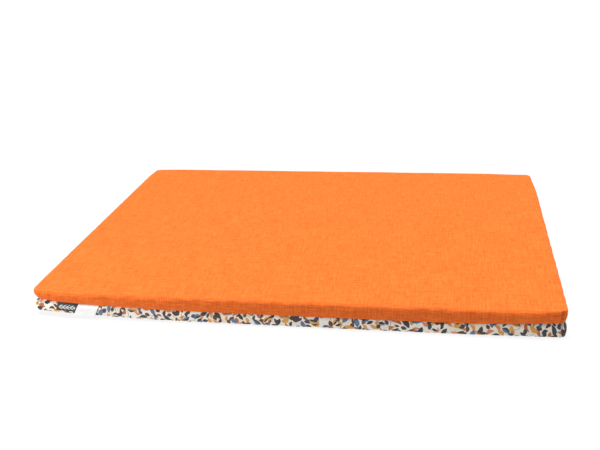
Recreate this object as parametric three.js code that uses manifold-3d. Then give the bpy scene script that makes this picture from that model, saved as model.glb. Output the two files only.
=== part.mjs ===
// A flat kneeling pad: a foam slab in a removable two-piece cover, closed by a coil zip along the back.
// The upper and lower panels are cut with boxed corners and meet in one seam round the side.
// Millimetres, +Z up. The origin is the middle of the underside, +X runs along the long side and the front
// faces -Y.
import * as THREE from "three";
import { mergeVertices } from "three/addons/utils/BufferGeometryUtils.js";
import Module from "manifold-3d";

// Driving dimensions.
const LENGTH = 600;
const WIDTH = 450;
const HEIGHT = 32;
const CORNER_RADIUS = 12; // in plan
const TOP_EDGE_RADIUS = 6;
const BASE_EDGE_RADIUS = 4;
const SEAM_HEIGHT = 13.5; // the middle of the side seam above the floor
const FABRIC = 0.8; // thickness of the cover cloth
const CLEAR = 0.3; // air between two pieces that lie on each other

// The side seam and the sewn corners.
const SEAM_GAP = 0.6; // between the two folded edges
const FOLD_RADIUS = FABRIC + CLEAR / 2;
const ALLOWANCE = 4.8; // width of the edge that is turned in
const THREAD_RADIUS = 0.25;
const SEAM_THREAD_INSET = 0.5;
const DART_DEPTH = 1; // how far a corner seam draws the cloth in
const DART_SHARE = 0.4; // where in a corner's turn that groove begins
const DART_FADE = 1.5; // height over which it runs out

// The foam slab.
const FOAM_INSET = 2 * FOLD_RADIUS + CLEAR;
const FOAM_BACK_INSET = 4.4; // room for the zip and its slider
const FOAM_CORNER_RADIUS = 12;
const FOAM_TOP_RADIUS = 5;
const FOAM_BASE_RADIUS = 3;

// The zip, in its own frame: x along it, y up, z out of the cover. Its slider stands at the closed end, +x.
const SLOT_HALF_HEIGHT = 4.3;
const SLOT_HALF_LENGTH = 247; // the folded edges start to close here
const SLOT_END = 255; // and meet here
const TAPE_FACE = -FOAM_INSET;
const TAPE_THICKNESS = 0.5;
const TAPE_WIDTH = 10.8;
const TAPE_HALF_LENGTH = 258;
const COIL_FACE = TAPE_FACE + 0.1;
const COIL_DEPTH = 1.6;
const COIL_HEIGHT = 1.85;
const COIL_HALF_LENGTH = 245;
const COIL_GAP = 0.15; // from the zip's middle line to a closed coil
const COIL_SPREAD = 0.95; // the same where the slider parts the coils
const STOP_AT = 241.2;
const STOP_LENGTH = 2.4;
const STOP_WIRE = 0.5;
const STOP_AIR = 0.15; // between a stop and the coil inside it
const STITCH_HEIGHT = 6.5; // above and below the zip's middle line
const STITCH_RADIUS = 0.2;
const STITCH_HALF_LENGTH = 249;
const TACK_AT = 250;
const TACK_WIDTH = 1.8;
const TACK_HEIGHT = 12;

// The slider and its pull tab.
const SLIDER_AT = 236;
const SLIDER_HALF_LENGTH = 4.5;
const SLIDER_TOP = 0.9;
const SLIDER_PLATE = 1;
const SLIDER_FLOOR = -4;
const RAIL_DEPTH = 1.7;
const RAIL_WIDTH = 0.7;
const PIVOT_OUT = 1.7;
const PIVOT_RADIUS = 0.45;
const PULL_LENGTH = 20;
const PULL_WIDTH = 5.2;
const PULL_ARMS_OUTER = 1.7; // half-widths of the fork round the arch
const PULL_ARMS_INNER = 0.95;
const PULL_ARM_LENGTH = 3.3;
const ARCH_RADIUS = 2.5;
const ARCH_WINDOW_RADIUS = 1.5;
const ARCH_WIDTH = 1.2;

// The labels in the front seam. right is the end nearest the middle, lean the slant of the ends.
const LABEL_THICKNESS = 0.5;
const WOVEN_LABEL = { right: -240.6, width: 25.5, drop: 8.4, lean: 0.12, standoff: 0.35 };
const CARE_LABEL = {
  right: -215,
  width: 25,
  drop: 12.3,
  lean: 0.5,
  standoff: WOVEN_LABEL.standoff + LABEL_THICKNESS + CLEAR,
};

const QUARTER = Math.PI / 2;

const wasm = await Module();
wasm.setup();

const cloth = (color, roughness) => new THREE.MeshStandardMaterial({ color, roughness, metalness: 0 });
const orangeCloth = cloth(0xf07a2c, 0.85);
const printedCloth = cloth(0xe9e2d6, 0.8);
const foam = cloth(0xe8e0c4, 0.95);
const orangeThread = cloth(0xd9641c, 0.6);
const creamThread = cloth(0xe4ddcf, 0.6);
const tapeCloth = cloth(0xd8651f, 0.75);
const nylon = cloth(0xcf5c1a, 0.4);
const darkSatin = cloth(0x1b1f2a, 0.5);
const whiteSatin = cloth(0xf4f4f2, 0.45);
const nickel = new THREE.MeshStandardMaterial({ color: 0xb9b9b6, roughness: 0.3, metalness: 1 });

const pad = new THREE.Group();

function piece(name, geometry, material, parent = pad) {
  const mesh = new THREE.Mesh(geometry, material);
  mesh.name = name;
  parent.add(mesh);
  return mesh;
}

// Points along an arc in a section, from one angle to another.
function arc(across, up, radius, from, to, steps) {
  return Array.from({ length: steps + 1 }, (_, i) => {
    const angle = from + ((to - from) * i) / steps;
    return [across + radius * Math.cos(angle), up + radius * Math.sin(angle)];
  });
}

// Stations anticlockwise round a rounded rectangle, each with the centre and direction of its normal. groove
// marks the middle of a corner, where its seam is sewn, and open says how far the zip's slot is open.
function stationsRound({ left, right, front, back, radius }) {
  const firstHalf = [0, 0.14, 0.28, DART_SHARE];
  const turns = [...firstHalf, 0.5, ...firstHalf.map((t) => 1 - t).reverse()];
  const corners = [
    [right - radius, front + radius],
    [right - radius, back - radius],
    [left + radius, back - radius],
    [left + radius, front + radius],
  ];
  const slot = [
    [SLOT_END, 0],
    [SLOT_HALF_LENGTH, 1],
    [-SLOT_HALF_LENGTH, 1],
    [-SLOT_END, 0],
  ];
  return corners.flatMap(([x, y], corner) => {
    const stations = turns.map((turn) => {
      const angle = (corner - 1 + turn) * QUARTER;
      const normal = [Math.cos(angle), Math.sin(angle)];
      return { centre: [x, y], normal, radius, groove: turn === 0.5 ? 1 : 0, open: 0 };
    });
    if (corner === 1) {
      const across = { normal: [0, 1], radius, groove: 0 };
      for (const [at, open] of slot) stations.push({ centre: [at, y], open, ...across });
    }
    return stations;
  });
}

function placeAt({ centre, normal, radius }, inset) {
  const out = radius - inset;
  return [centre[0] + normal[0] * out, centre[1] + normal[1] * out];
}

// A closed solid from rings round the stations, with flat faces on its first and last ring. A ring has an
// inset and a height, and says how much of the corner grooves and of the zip's opening it follows.
function ringSolid(stations, rings) {
  const points = rings.flatMap(({ inset, height, groove = 0, opening = 0 }) =>
    stations.map((s) => [...placeAt(s, inset + groove * s.groove), height + opening * s.open]),
  );
  const n = stations.length;
  const index = [];
  for (let ring = 0; ring + 1 < rings.length; ring++)
    for (let i = 0; i < n; i++) {
      const j = (i + 1) % n;
      const [a, b, c, d] = [ring * n + i, ring * n + j, (ring + 1) * n + j, (ring + 1) * n + i];
      index.push(a, b, c, a, c, d);
    }
  const faceOf = (first) =>
    THREE.ShapeUtils.triangulateShape(
      stations.map((_, i) => new THREE.Vector2(...points[first + i])),
      [],
    ).map((triangle) => triangle.map((i) => first + i));
  for (const [a, b, c] of faceOf(0)) index.push(a, c, b);
  for (const triangle of faceOf((rings.length - 1) * n)) index.push(...triangle);
  const geometry = new THREE.BufferGeometry();
  geometry.setAttribute("position", new THREE.Float32BufferAttribute(points.flat(), 3));
  geometry.setIndex(index);
  return geometry;
}

const ring = ([inset, height], more = {}) => ({ inset, height, ...more });

// The section of one boxed panel, with heights measured from its flat face: up the outside, over the fold
// at the seam, back along the turned-in edge, and down the inside.
function panelRings(depth, edgeRadius) {
  const fold = depth - FOLD_RADIUS;
  const opening = SEAM_GAP / 2 - SLOT_HALF_HEIGHT;
  const turnedFace = 2 * FOLD_RADIUS;
  const turnedBack = turnedFace - FABRIC;
  const outerEdge = arc(edgeRadius, edgeRadius, edgeRadius, -QUARTER, -2 * QUARTER, 4);
  const innerEdge = arc(edgeRadius, edgeRadius, edgeRadius - FABRIC, -2 * QUARTER, -QUARTER, 3);
  const low = { groove: DART_DEPTH };
  const high = { groove: DART_DEPTH, opening };
  return [
    ...outerEdge.map((at) => ring(at)),
    ring([0, edgeRadius + DART_FADE], low),
    ring([0, fold - DART_FADE], high),
    ...arc(FOLD_RADIUS, fold, FOLD_RADIUS, 2 * QUARTER, 0, 6).map((at) => ring(at, { opening })),
    ring([turnedFace, fold - DART_FADE], high),
    ring([turnedFace, fold - ALLOWANCE], high),
    ring([turnedBack, fold - ALLOWANCE], high),
    ring([turnedBack, fold - DART_FADE], high),
    ring([turnedBack, fold], { opening }),
    ring([FABRIC, fold], { opening }),
    ring([FABRIC, fold - DART_FADE], high),
    ring([FABRIC, edgeRadius + DART_FADE], low),
    ...innerEdge.map((at) => ring(at)),
  ];
}

// The two panels are sewn the same way, so the upper one is turned over.
const coverStations = stationsRound({
  left: -LENGTH / 2,
  right: LENGTH / 2,
  front: -WIDTH / 2,
  back: WIDTH / 2,
  radius: CORNER_RADIUS,
});
const baseDepth = SEAM_HEIGHT - SEAM_GAP / 2;
const topDepth = HEIGHT - SEAM_HEIGHT - SEAM_GAP / 2;
piece("base_cover", ringSolid(coverStations, panelRings(baseDepth, BASE_EDGE_RADIUS)), printedCloth);
const topPanel = ringSolid(coverStations, panelRings(topDepth, TOP_EDGE_RADIUS));
const topCover = piece("top_cover", topPanel, orangeCloth);
topCover.scale.z = -1;
topCover.position.z = HEIGHT;

function foamSlab() {
  const low = FABRIC + CLEAR;
  const high = HEIGHT - low;
  const stations = stationsRound({
    left: -LENGTH / 2 + FOAM_INSET,
    right: LENGTH / 2 - FOAM_INSET,
    front: -WIDTH / 2 + FOAM_INSET,
    back: WIDTH / 2 - FOAM_BACK_INSET,
    radius: FOAM_CORNER_RADIUS,
  });
  const lowEdge = arc(FOAM_BASE_RADIUS, low + FOAM_BASE_RADIUS, FOAM_BASE_RADIUS, -QUARTER, -2 * QUARTER, 3);
  const highEdge = arc(FOAM_TOP_RADIUS, high - FOAM_TOP_RADIUS, FOAM_TOP_RADIUS, 2 * QUARTER, QUARTER, 4);
  return ringSolid(
    stations,
    [...lowEdge, ...highEdge].map((at) => ring(at)),
  );
}
piece("foam_core", foamSlab(), foam);

// A curve that is sampled exactly at its own points.
class ThroughPoints extends THREE.CatmullRomCurve3 {
  getPointAt(t, target) {
    return this.getPoint(t, target);
  }
  getTangentAt(t, target) {
    return this.getTangent(t, target);
  }
}

function thread(extrudePath, steps) {
  const section = new THREE.Shape().absarc(0, 0, THREAD_RADIUS, 0, 2 * Math.PI);
  return new THREE.ExtrudeGeometry(section, { extrudePath, steps, curveSegments: 4 });
}

// The thread that joins the panels runs round everything but the zip.
function seamThread() {
  const zipStart = coverStations.findIndex((s) => s.open === 1) - 1;
  const zipEnd = coverStations.findLastIndex((s) => s.open === 1) + 1;
  const sewn = [...coverStations.slice(zipEnd), ...coverStations.slice(0, zipStart + 1)];
  const points = sewn.map((s) => new THREE.Vector3(...placeAt(s, SEAM_THREAD_INSET), SEAM_HEIGHT));
  return thread(new ThroughPoints(points), points.length - 1);
}
piece("seam_thread", seamThread(), orangeThread);

// The corner seams lie in their grooves, one in each panel.
const cornerStations = coverStations.filter((s) => s.groove);
["front_right", "back_right", "back_left", "front_left"].forEach((corner, i) => {
  const [x, y] = placeAt(cornerStations[i], 2 * THREAD_RADIUS);
  const upright = (from, to) =>
    thread(new THREE.LineCurve3(new THREE.Vector3(x, y, from), new THREE.Vector3(x, y, to)), 1);
  const clear = FOLD_RADIUS + DART_FADE + SEAM_GAP / 2;
  const highEnd = HEIGHT - TOP_EDGE_RADIUS - DART_FADE;
  const lowEnd = BASE_EDGE_RADIUS + DART_FADE;
  piece(`top_corner_thread_${corner}`, upright(SEAM_HEIGHT + clear, highEnd), orangeThread);
  piece(`base_corner_thread_${corner}`, upright(lowEnd, SEAM_HEIGHT - clear), creamThread);
});

// The zip's frame stands on the back of the cover.
const zip = new THREE.Group();
zip.position.set(0, WIDTH / 2, SEAM_HEIGHT);
zip.setRotationFromMatrix(
  new THREE.Matrix4().makeBasis(
    new THREE.Vector3(-1, 0, 0),
    new THREE.Vector3(0, 0, 1),
    new THREE.Vector3(0, 1, 0),
  ),
);
pad.add(zip);

const shapeOf = (points) => new THREE.Shape(points.map(([x, y]) => new THREE.Vector2(x, y)));

// An outline in x and y, given a depth from one z to another.
function slab(points, from, to) {
  const geometry = new THREE.ExtrudeGeometry(shapeOf(points), { depth: to - from, bevelEnabled: false });
  return geometry.translate(0, 0, from);
}

// Half an outline along +y or -y of the middle line, mirrored to make it whole.
const bothSides = (points) => [...points, ...points.map(([x, y]) => [x, -y]).reverse()];

// A strip beside the zip's middle line. Its inner edge moves out where the slider parts the two halves.
function halfOfZip(side, height, halfLength, from, to) {
  const inner = [
    [-halfLength, COIL_GAP],
    [SLIDER_AT - 1.5, COIL_GAP],
    [SLIDER_AT + 1, COIL_SPREAD],
    [halfLength, COIL_SPREAD],
  ];
  const outer = inner.map(([x, y]) => [x, y + height]).reverse();
  const outline = [...inner, ...outer].map(([x, y]) => [x, side * y]);
  return slab(outline, from, to);
}

// A stop is a staple over the coils: a crown and two legs, here as a section in y and z.
function staple(start, middle, halfHeight) {
  const foot = COIL_FACE + 0.2;
  const crown = COIL_FACE + COIL_DEPTH + STOP_AIR;
  const outerHalf = halfHeight + STOP_WIRE;
  const section = [
    [-outerHalf, foot],
    [-halfHeight, foot],
    [-halfHeight, crown],
    [halfHeight, crown],
    [halfHeight, foot],
    [outerHalf, foot],
    [outerHalf, crown + STOP_WIRE],
    [-outerHalf, crown + STOP_WIRE],
  ];
  const geometry = slab(section, 0, STOP_LENGTH);
  const along = new THREE.Matrix4().makeBasis(
    new THREE.Vector3(0, 1, 0),
    new THREE.Vector3(0, 0, 1),
    new THREE.Vector3(1, 0, 0),
  );
  return geometry.applyMatrix4(along).translate(start, middle, 0);
}

for (const [label, side] of [
  ["upper", 1],
  ["lower", -1],
]) {
  const half = (...shape) => halfOfZip(side, ...shape);
  const tape = half(TAPE_WIDTH, TAPE_HALF_LENGTH, TAPE_FACE - TAPE_THICKNESS, TAPE_FACE);
  const coil = half(COIL_HEIGHT, COIL_HALF_LENGTH, COIL_FACE, COIL_FACE + COIL_DEPTH);
  const coilMiddle = side * (COIL_SPREAD + COIL_HEIGHT / 2);
  piece(`zip_tape_${label}`, tape, tapeCloth, zip);
  piece(`zip_coil_${label}`, coil, nylon, zip);
  piece(`zip_top_stop_${label}`, staple(STOP_AT, coilMiddle, COIL_HEIGHT / 2 + STOP_AIR), nickel, zip);

  const stitch = new THREE.CylinderGeometry(STITCH_RADIUS, STITCH_RADIUS, 2 * STITCH_HALF_LENGTH, 8);
  const stitchLine = piece(`zip_stitch_${label}`, stitch, orangeThread, zip);
  stitchLine.rotation.z = QUARTER;
  stitchLine.position.set(0, side * STITCH_HEIGHT, STITCH_RADIUS + 0.1);
}
const closedCoils = COIL_GAP + COIL_HEIGHT + STOP_AIR;
piece("zip_bottom_stop", staple(-STOP_AT - STOP_LENGTH, 0, closedCoils), nickel, zip);

for (const [label, x] of [
  ["left", TACK_AT],
  ["right", -TACK_AT],
]) {
  const block = new THREE.BoxGeometry(TACK_WIDTH, TACK_HEIGHT, 0.4);
  piece(`bar_tack_${label}`, block, orangeThread, zip).position.set(x, 0, 0.32);
}

function solid(geometry) {
  const bare = geometry.index ? geometry.toNonIndexed() : geometry.clone();
  bare.deleteAttribute("normal");
  bare.deleteAttribute("uv");
  const merged = mergeVertices(bare, 1e-4);
  const vertProperties = merged.attributes.position.array;
  const triVerts = new Uint32Array(merged.index.array);
  return new wasm.Manifold(new wasm.Mesh({ numProp: 3, vertProperties, triVerts }));
}

function joined(geometries) {
  const { vertProperties, triVerts } = geometries.map(solid).reduce((a, b) => a.add(b)).getMesh();
  const geometry = new THREE.BufferGeometry();
  geometry.setAttribute("position", new THREE.BufferAttribute(vertProperties, 3));
  geometry.setIndex(new THREE.BufferAttribute(triVerts, 1));
  return geometry;
}

// The slider is two plates joined by a wedge, with rails outside the coils and an arch for the pull tab. It
// is narrower behind, where it leaves the coils closed. Its middle is the origin.
function slider() {
  const plan = (rear, front) => [
    [-SLIDER_HALF_LENGTH, rear],
    [-1.5, rear],
    [1, front],
    [SLIDER_HALF_LENGTH, front],
  ];
  const outer = plan(3, 3.8);
  const inner = plan(3 - RAIL_WIDTH, 3.8 - RAIL_WIDTH);
  const underTop = SLIDER_TOP - SLIDER_PLATE;
  const topPlate = slab(bothSides(outer), underTop, SLIDER_TOP);
  const floorPlate = slab(bothSides(outer), SLIDER_FLOOR, SLIDER_FLOOR + 0.9);
  const rails = [1, -1].map((side) => {
    const outline = [...outer, ...[...inner].reverse()].map(([x, y]) => [x, side * y]);
    return slab(outline, underTop - RAIL_DEPTH, underTop + 0.3);
  });
  const wedgePlan = [
    [1.5, 0.25],
    [2.4, 0.7],
    [SLIDER_HALF_LENGTH, 0.7],
  ];
  const wedge = slab(bothSides(wedgePlan), SLIDER_FLOOR + 0.4, underTop + 0.4);
  return joined([topPlate, floorPlate, ...rails, wedge, arch()]);
}

// The arch over the middle of the slider, as a section in x and z with a window for the pull's pivot.
function arch() {
  const foot = SLIDER_TOP - 0.4;
  const halfRing = (radius) => [
    [radius, foot],
    ...arc(0, SLIDER_TOP, radius, 0, 2 * QUARTER, 10),
    [-radius, foot],
  ];
  const section = [...halfRing(ARCH_RADIUS), ...halfRing(ARCH_WINDOW_RADIUS).reverse()];
  return slab(section, -ARCH_WIDTH / 2, ARCH_WIDTH / 2).rotateX(QUARTER);
}

// The pull tab lies along -x from its pivot: a fork round the arch, then a plate with a hole.
function pullTab() {
  const tipRadius = PULL_WIDTH / 2;
  const shoulder = [
    [0, PULL_ARMS_OUTER],
    [-2.8, PULL_ARMS_OUTER],
    [-4.4, tipRadius - 0.4],
  ];
  const tip = arc(-PULL_LENGTH + tipRadius, 0, tipRadius, QUARTER, 1.85 * QUARTER, 5);
  const gap = [
    [0, -PULL_ARMS_INNER],
    [-PULL_ARM_LENGTH, -PULL_ARMS_INNER],
  ];
  const shape = shapeOf([...bothSides([...shoulder, ...tip]), ...bothSides(gap)]);
  shape.holes.push(new THREE.Path().absarc(-PULL_LENGTH + 3.2, 0, 1.1, 0, 2 * Math.PI, true));
  const options = { depth: 2 * PIVOT_RADIUS, bevelEnabled: false, curveSegments: 6 };
  const plate = new THREE.ExtrudeGeometry(shape, options).translate(0, 0, -PIVOT_RADIUS);
  const pivot = new THREE.CylinderGeometry(PIVOT_RADIUS, PIVOT_RADIUS, 2 * PULL_ARMS_OUTER, 12);
  return joined([plate, pivot]);
}
piece("zip_slider", slider(), nickel, zip).position.x = SLIDER_AT;
piece("zip_pull_tab", pullTab(), nickel, zip).position.set(SLIDER_AT, 0, PIVOT_OUT);

// A label is held in the front seam and hangs over the lower panel. Its section is in y and z.
function label({ right, width, drop, lean, standoff }) {
  const half = LABEL_THICKNESS / 2;
  const face = standoff + LABEL_THICKNESS;
  const section = [
    [-0.1, -half],
    [standoff, -half],
    [standoff, -drop],
    [face, -drop],
    [face, -half],
    [face - half, half],
    [-0.1, half],
  ];
  const hanging = new THREE.Matrix4().makeBasis(
    new THREE.Vector3(0, -1, 0),
    new THREE.Vector3(0, 0, 1),
    new THREE.Vector3(-1, 0, 0),
  );
  const slant = new THREE.Matrix4().makeShear(0, 0, 0, 0, lean, 0);
  const geometry = slab(section, 0, width).applyMatrix4(hanging).applyMatrix4(slant);
  return geometry.translate(right, -WIDTH / 2, SEAM_HEIGHT);
}
piece("woven_label", label(WOVEN_LABEL), darkSatin);
piece("care_label", label(CARE_LABEL), whiteSatin);

export default pad;
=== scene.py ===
# The kneeling pad's looks: a foam slab in a sewn cover, orange slub cloth above, leaf-printed cloth below.
import math

import bpy
import numpy as np
from mathutils import Matrix, Vector, noise
from mathutils.bvhtree import BVHTree

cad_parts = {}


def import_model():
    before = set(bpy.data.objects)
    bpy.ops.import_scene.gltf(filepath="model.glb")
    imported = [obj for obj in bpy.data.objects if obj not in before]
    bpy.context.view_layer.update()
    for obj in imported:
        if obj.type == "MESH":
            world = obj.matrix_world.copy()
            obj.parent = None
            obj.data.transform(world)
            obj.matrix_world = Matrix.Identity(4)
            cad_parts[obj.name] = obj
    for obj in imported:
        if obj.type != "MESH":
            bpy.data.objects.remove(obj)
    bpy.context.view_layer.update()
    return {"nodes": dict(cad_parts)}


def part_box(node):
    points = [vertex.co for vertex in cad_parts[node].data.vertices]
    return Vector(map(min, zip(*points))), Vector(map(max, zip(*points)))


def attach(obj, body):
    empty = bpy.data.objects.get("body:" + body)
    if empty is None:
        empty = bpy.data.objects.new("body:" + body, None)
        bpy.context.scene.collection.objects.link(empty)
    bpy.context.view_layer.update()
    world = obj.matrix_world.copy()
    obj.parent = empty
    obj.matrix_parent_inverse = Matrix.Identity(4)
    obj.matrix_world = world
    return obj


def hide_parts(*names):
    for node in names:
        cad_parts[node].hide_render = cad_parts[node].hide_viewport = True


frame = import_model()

MM = 0.001

# Sizes from the frame.
top_low, top_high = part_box("top_cover")
_, base_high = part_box("base_cover")
HALF = np.array([top_high.x, top_high.y])
HEIGHT = top_high.z
SEAM_Z = (top_low.z + base_high.z) / 2

# The cover's form.
CORNER_RADIUS = 8 * MM  # in plan, before the corners are cut
LEAST_RADIUS = 0.4 * MM  # the least for a ring further in
SEAM_TURNED = -0.16  # turns the front right corner's seam to the front, as a share of its block
CORNER_BLOCK = 22 * MM  # the square in which the flat cloth eases round a corner
TOP_RADIUS = 5.5 * MM
BASE_RADIUS = 4 * MM
SEAM_GAP = 0.5 * MM
SEAM_DRAWN = 1.5 * MM  # how far the seam lies behind the outline
SEAM_DRAWN_AT_ZIP = 0.5 * MM
ZIP_EASE = 40 * MM  # from this far in from the sides, the zip holds the back seam straight
DART_DEPTH = 2.4 * MM  # how deep the corner seams lie
CLOTH = 0.7 * MM
ZIP_SLOT_HALF = 4.3 * MM
ZIP_OPEN_TO = 247 * MM
ZIP_ENDS_AT = 255 * MM
CELLS = (100, 76)  # cloth cells along and across

# How the sewn corners draw the pad out of square, in millimetres. floor and seam say how far those edges lift
# at the corner, fading over reach. drawn is how far the seam is pulled in there. cut is how far the whole
# corner is pulled in, fading over spread. drop is how far the top sinks, and it rises where drop is negative.
# sharp says how crisp the top's edge becomes, and lean how straight the flap slants in, both from 0 to 1.
CORNERS = {
    "front_left": {
        "sign": (-1, -1), "reach": 104, "floor": 5.0, "seam": 5.0, "drawn": 3.2,
        "cut": 3.2, "spread": 26, "drop": -2.3, "sharp": 0.2, "lean": 0.6,
    },
    "front_right": {
        "sign": (1, -1), "reach": 71, "floor": 1.5, "seam": 3.9, "drawn": 0.8,
        "cut": 1.9, "spread": 26, "drop": -1.8, "sharp": 0.7, "lean": 0,
    },
    "back_right": {
        "sign": (1, 1), "reach": 34, "floor": 0.8, "seam": 2.0, "drawn": 1.8,
        "cut": 3.4, "spread": 44, "drop": 0.2, "sharp": 0.3, "lean": 0.3,
    },
    "back_left": {
        "sign": (-1, 1), "reach": 34, "floor": 0.9, "seam": 2.2, "drawn": 2.0,
        "cut": 2.6, "spread": 26, "drop": 0.4, "sharp": 0.2, "lean": 0.5,
    },
}
NEAR_REACH = 26 * MM  # how far drawn, drop, sharp and lean reach


def smooth(t):
    t = np.clip(t, 0, 1)
    return t * t * (3 - 2 * t)


def wobble(x, y, size, seed):
    """Smooth random values from -1 to 1 that change over the distance size."""
    return np.array([noise.noise(Vector((a / size, b / size, seed))) for a, b in zip(x, y)])


def corner_pull(x, y, what):
    """The sum over the corners of one of their amounts, in its own unit, fading with distance."""
    total = np.zeros(len(x))
    for corner in CORNERS.values():
        (sx, sy), reach = corner["sign"], corner["reach"] * MM
        distance = np.hypot(x - sx * HALF[0], y - sy * HALF[1])
        fade = reach if what in ("floor", "seam") else NEAR_REACH
        total += corner[what] * np.exp(-((distance / fade) ** 2))
    return total


def cut_corners(flat):
    """Draws each corner of a plan in towards the middle."""
    flat = flat.copy()
    for corner in CORNERS.values():
        sign = np.array(corner["sign"])
        distance = np.linalg.norm(flat - sign * HALF, axis=1)
        near = np.exp(-((distance / (corner["spread"] * MM)) ** 2))
        flat -= sign * MM * corner["cut"] * near[:, None]
    return flat


def top_height(x, y):
    """The top's height: a slight crown, a little unevenness, and what the corners do to it."""
    crown = 0.6 * (1 - np.abs(x / HALF[0]) ** 3) * (1 - np.abs(y / HALF[1]) ** 3) - 0.45
    uneven = 0.2 * wobble(x, y, 48 * MM, 1.3) + 0.12 * wobble(x, y, 19 * MM, 5.2)
    return HEIGHT + MM * (crown + uneven - corner_pull(x, y, "drop"))


def base_height(x, y):
    """The underside's height, which lifts towards the corners."""
    return MM * corner_pull(x, y, "floor")


# ---------------------------------------------------------------- the cover's flat grid and its rings


def cell_lines(half, cells):
    """Grid lines from -half to half, closer together towards the ends."""
    t = np.linspace(-1, 1, cells + 1)
    return half * (1.38 * t - 0.38 * t**3)


def round_corners(flat, half, block, radius_at):
    """Eases flat points near the four corners on to rounded ones. radius_at gives the corner radius of the
    square ring that lies a given distance out from the block's inner corner."""
    x, y = flat.T
    p = np.abs(x) - (half[0] - block)
    q = np.abs(y) - (half[1] - block)
    inside = (p > 0) & (q > 0)
    out = np.where(inside, np.maximum(p, q), 1.0)
    share = np.where(inside, np.minimum(p, q) / out, 0.0)
    turned = np.where(p >= q, 1 - share, share - 1)
    turned = turned + np.where((x > 0) & (y < 0), SEAM_TURNED, 0.0) * (1 - turned**2)
    share, beside = 1 - np.abs(turned), turned >= 0
    radius = radius_at(out)
    straight = out - radius
    along = share * (straight + radius * math.pi / 4)
    turn = np.clip((along - straight) / np.maximum(radius, 1e-9), 0, None)
    reach = np.where(turn > 0, straight + radius * np.cos(turn), out)
    side = np.where(turn > 0, straight + radius * np.sin(turn), along)
    new_p = np.where(beside, reach, side)
    new_q = np.where(beside, side, reach)
    new_x = np.where(inside, np.sign(x) * (half[0] - block + new_p), x)
    new_y = np.where(inside, np.sign(y) * (half[1] - block + new_q), y)
    return np.stack([new_x, new_y], 1)


class Grid:
    """A panel's flat middle, which ends the distance edge short of its outline. Its rim is a ring of
    stations, anticlockwise from the front left corner."""

    def __init__(self, edge, half=HALF, cells=CELLS, corner=CORNER_RADIUS, block=CORNER_BLOCK):
        self.edge, self.half, self.corner, self.block = edge, half, corner, block
        self.stations = 2 * sum(cells)
        self.lines = [cell_lines(side - edge, count) for side, count in zip(half, cells)]
        nx, ny = cells
        i, j = np.meshgrid(np.arange(nx + 1), np.arange(ny + 1), indexing="ij")
        self.flat = np.stack([self.lines[0][i].ravel(), self.lines[1][j].ravel()], 1)
        n = np.arange((nx + 1) * (ny + 1)).reshape(nx + 1, ny + 1)
        self.rim = np.concatenate([n[:-1, 0], n[-1, :-1], n[:0:-1, -1], n[0, :0:-1]])
        self.faces = np.stack([n[:-1, :-1], n[1:, :-1], n[1:, 1:], n[:-1, 1:]], -1).reshape(-1, 4)
        self.side_of = np.repeat([0, 1, 2, 3], [nx, ny, nx, ny])  # front, right, back, left
        self.corner_at = dict(zip(CORNERS, (0, nx, nx + ny, 2 * nx + ny)))
        span, rim_radius = block - edge, max(corner - edge, LEAST_RADIUS)
        eased = round_corners(self.flat, half, block, lambda out: rim_radius * (out / span) ** 2)
        self.placed = cut_corners(eased)
        outer, inner = self.ring(0.0), self.ring(edge)
        self.inward = (inner - outer) / np.linalg.norm(inner - outer, axis=1)[:, None]
        self.outline = outer

    def ring(self, inset):
        """The rim's stations in plan, moved out until they stand inset from the outline."""
        flat = self.flat[self.rim].copy()
        start = self.half - self.block
        beyond = np.abs(flat) - start
        grown = np.sign(flat) * (start + beyond * (self.block - inset) / (self.block - self.edge))
        flat = np.where(beyond > 0, grown, flat)
        radius = max(self.corner - inset, LEAST_RADIUS)
        return cut_corners(round_corners(flat, self.half, self.block, lambda out: radius + 0 * out))

    def at(self, inset, height):
        """A ring of points with an inset and a height for each station."""
        return np.column_stack([self.outline + self.inward * inset[:, None], height])


top_grid, base_grid = Grid(TOP_RADIUS), Grid(BASE_RADIUS)


def zip_opening(x, y):
    """1 where the zip's slot is open, easing to 0 past its ends."""
    ease = smooth((ZIP_ENDS_AT - np.abs(x)) / (ZIP_ENDS_AT - ZIP_OPEN_TO))
    return np.where(y > HALF[1] - CORNER_RADIUS, ease, 0.0)


def rim_state():
    """Each station's seam: its height, how far it is drawn in, how far the zip's slot is open, and how free
    the cloth is of the zip."""
    x, y = top_grid.outline.T
    near_zip = np.where(y > HALF[1] - CORNER_RADIUS, smooth((HALF[0] - np.abs(x)) / ZIP_EASE), 0.0)
    free = 1 - near_zip
    wander = 0.25 * wobble(x, y, 32 * MM, 3.1)
    pucker = 0.3 * wobble(x, y, 12 * MM, 7.7)
    height = SEAM_Z + MM * free * (corner_pull(x, y, "seam") + wander)
    more = SEAM_DRAWN - SEAM_DRAWN_AT_ZIP + MM * (corner_pull(x, y, "drawn") + pucker)
    drawn = SEAM_DRAWN_AT_ZIP + free * more
    return {"height": height, "drawn": drawn, "opening": zip_opening(x, y), "free": free}


rim = rim_state()
SHOULDER_TURNS = np.linspace(0, math.pi / 2, 6)[1:]
FALL_SHARES = np.linspace(0, 1, 6)[1:]
FLAP_BULGE = 0.5 * MM
LIP_OF_GROOVE = {-2: 0.2, -1: 0.12, 1: 0.12, 2: 0.2}  # by stations away from it, as a share of its depth


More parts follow.
